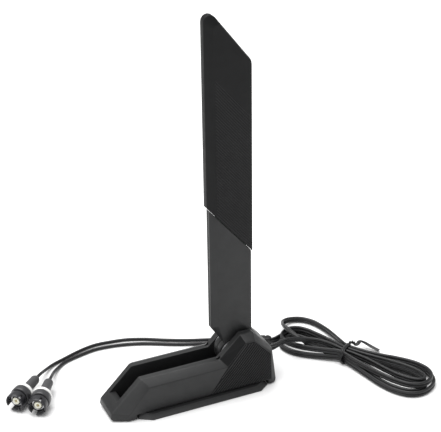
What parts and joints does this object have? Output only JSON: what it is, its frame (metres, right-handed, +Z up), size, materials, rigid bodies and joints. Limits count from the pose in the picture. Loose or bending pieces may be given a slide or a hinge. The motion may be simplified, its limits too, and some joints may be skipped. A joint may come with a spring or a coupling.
{
  "type": "folding desktop aerial",
  "caption": "Upright flat-blade desktop aerial that folds forward into its slotted, faceted foot; its twin coax cable is tied in a hank and splits into leads with push-on coax plugs.",
  "frame": {"origin": "middle of the foot, on the surface it stands on", "axes": "+X from the foot's nose to its hinge, +Z up along the upright blade"},
  "size_m": [0.2189, 0.1241, 0.2089],
  "materials": {
    "black_plastic": "matte, fine grain",
    "sleeve_plastic": "matte, fine slanted ribs",
    "steel": "plain zinc plated",
    "pad_rubber": "matte",
    "bush_plastic": "natural acetal",
    "board": "green solder mask",
    "copper": "bare copper",
    "cable_jacket": "smooth satin jacket",
    "boot_rubber": "matte grey",
    "white_plastic": "white",
    "collar_plastic": "satin dark grey",
    "skirt_plastic": "satin",
    "insulator": "cream",
    "gold": "gold plated"
  },
  "bodies": {
    "foot": {"foot_housing": "black_plastic", "foot_plate": "black_plastic", "foot_pad": "pad_rubber", "plate_screw_1": "steel", "plate_screw_2": "steel", "plate_screw_3": "steel", "plate_screw_4": "steel", "ballast_bar_near": "steel", "ballast_bar_far": "steel", "coax_link_a": "cable_jacket", "coax_link_b": "cable_jacket", "strain_relief": "boot_rubber", "twin_run_in": "cable_jacket", "twin_hank": "cable_jacket", "twin_run_out": "cable_jacket", "twist_tie": "cable_jacket", "splitter": "cable_jacket", "lead_a": "cable_jacket", "lead_b": "cable_jacket", "plug_a_boot": "boot_rubber", "plug_a_ring": "white_plastic", "plug_a_collar": "collar_plastic", "plug_a_skirt": "skirt_plastic", "plug_a_contact": "steel", "plug_a_insulator": "insulator", "plug_a_pin": "gold", "plug_b_boot": "boot_rubber", "plug_b_ring": "white_plastic", "plug_b_collar": "collar_plastic", "plug_b_skirt": "skirt_plastic", "plug_b_contact": "steel", "plug_b_insulator": "insulator", "plug_b_pin": "gold"},
    "blade": {"neck_half_near": "black_plastic", "neck_half_far": "black_plastic", "sleeve": "sleeve_plastic", "aerial_board": "board", "radiator_lower": "copper", "radiator_upper": "copper", "hinge_bush_near": "bush_plastic", "hinge_bush_far": "bush_plastic", "friction_washer_near": "steel", "friction_washer_far": "steel", "coax_tail_a": "cable_jacket", "coax_tail_b": "cable_jacket"}
  },
  "joints": [
    {"name": "blade_fold", "type": "hinge", "parent": "foot", "child": "blade", "pos_m": [0.0255, 0, 0.021], "axis": [0, -1, 0], "range_deg": [0, 90]}
  ]
}
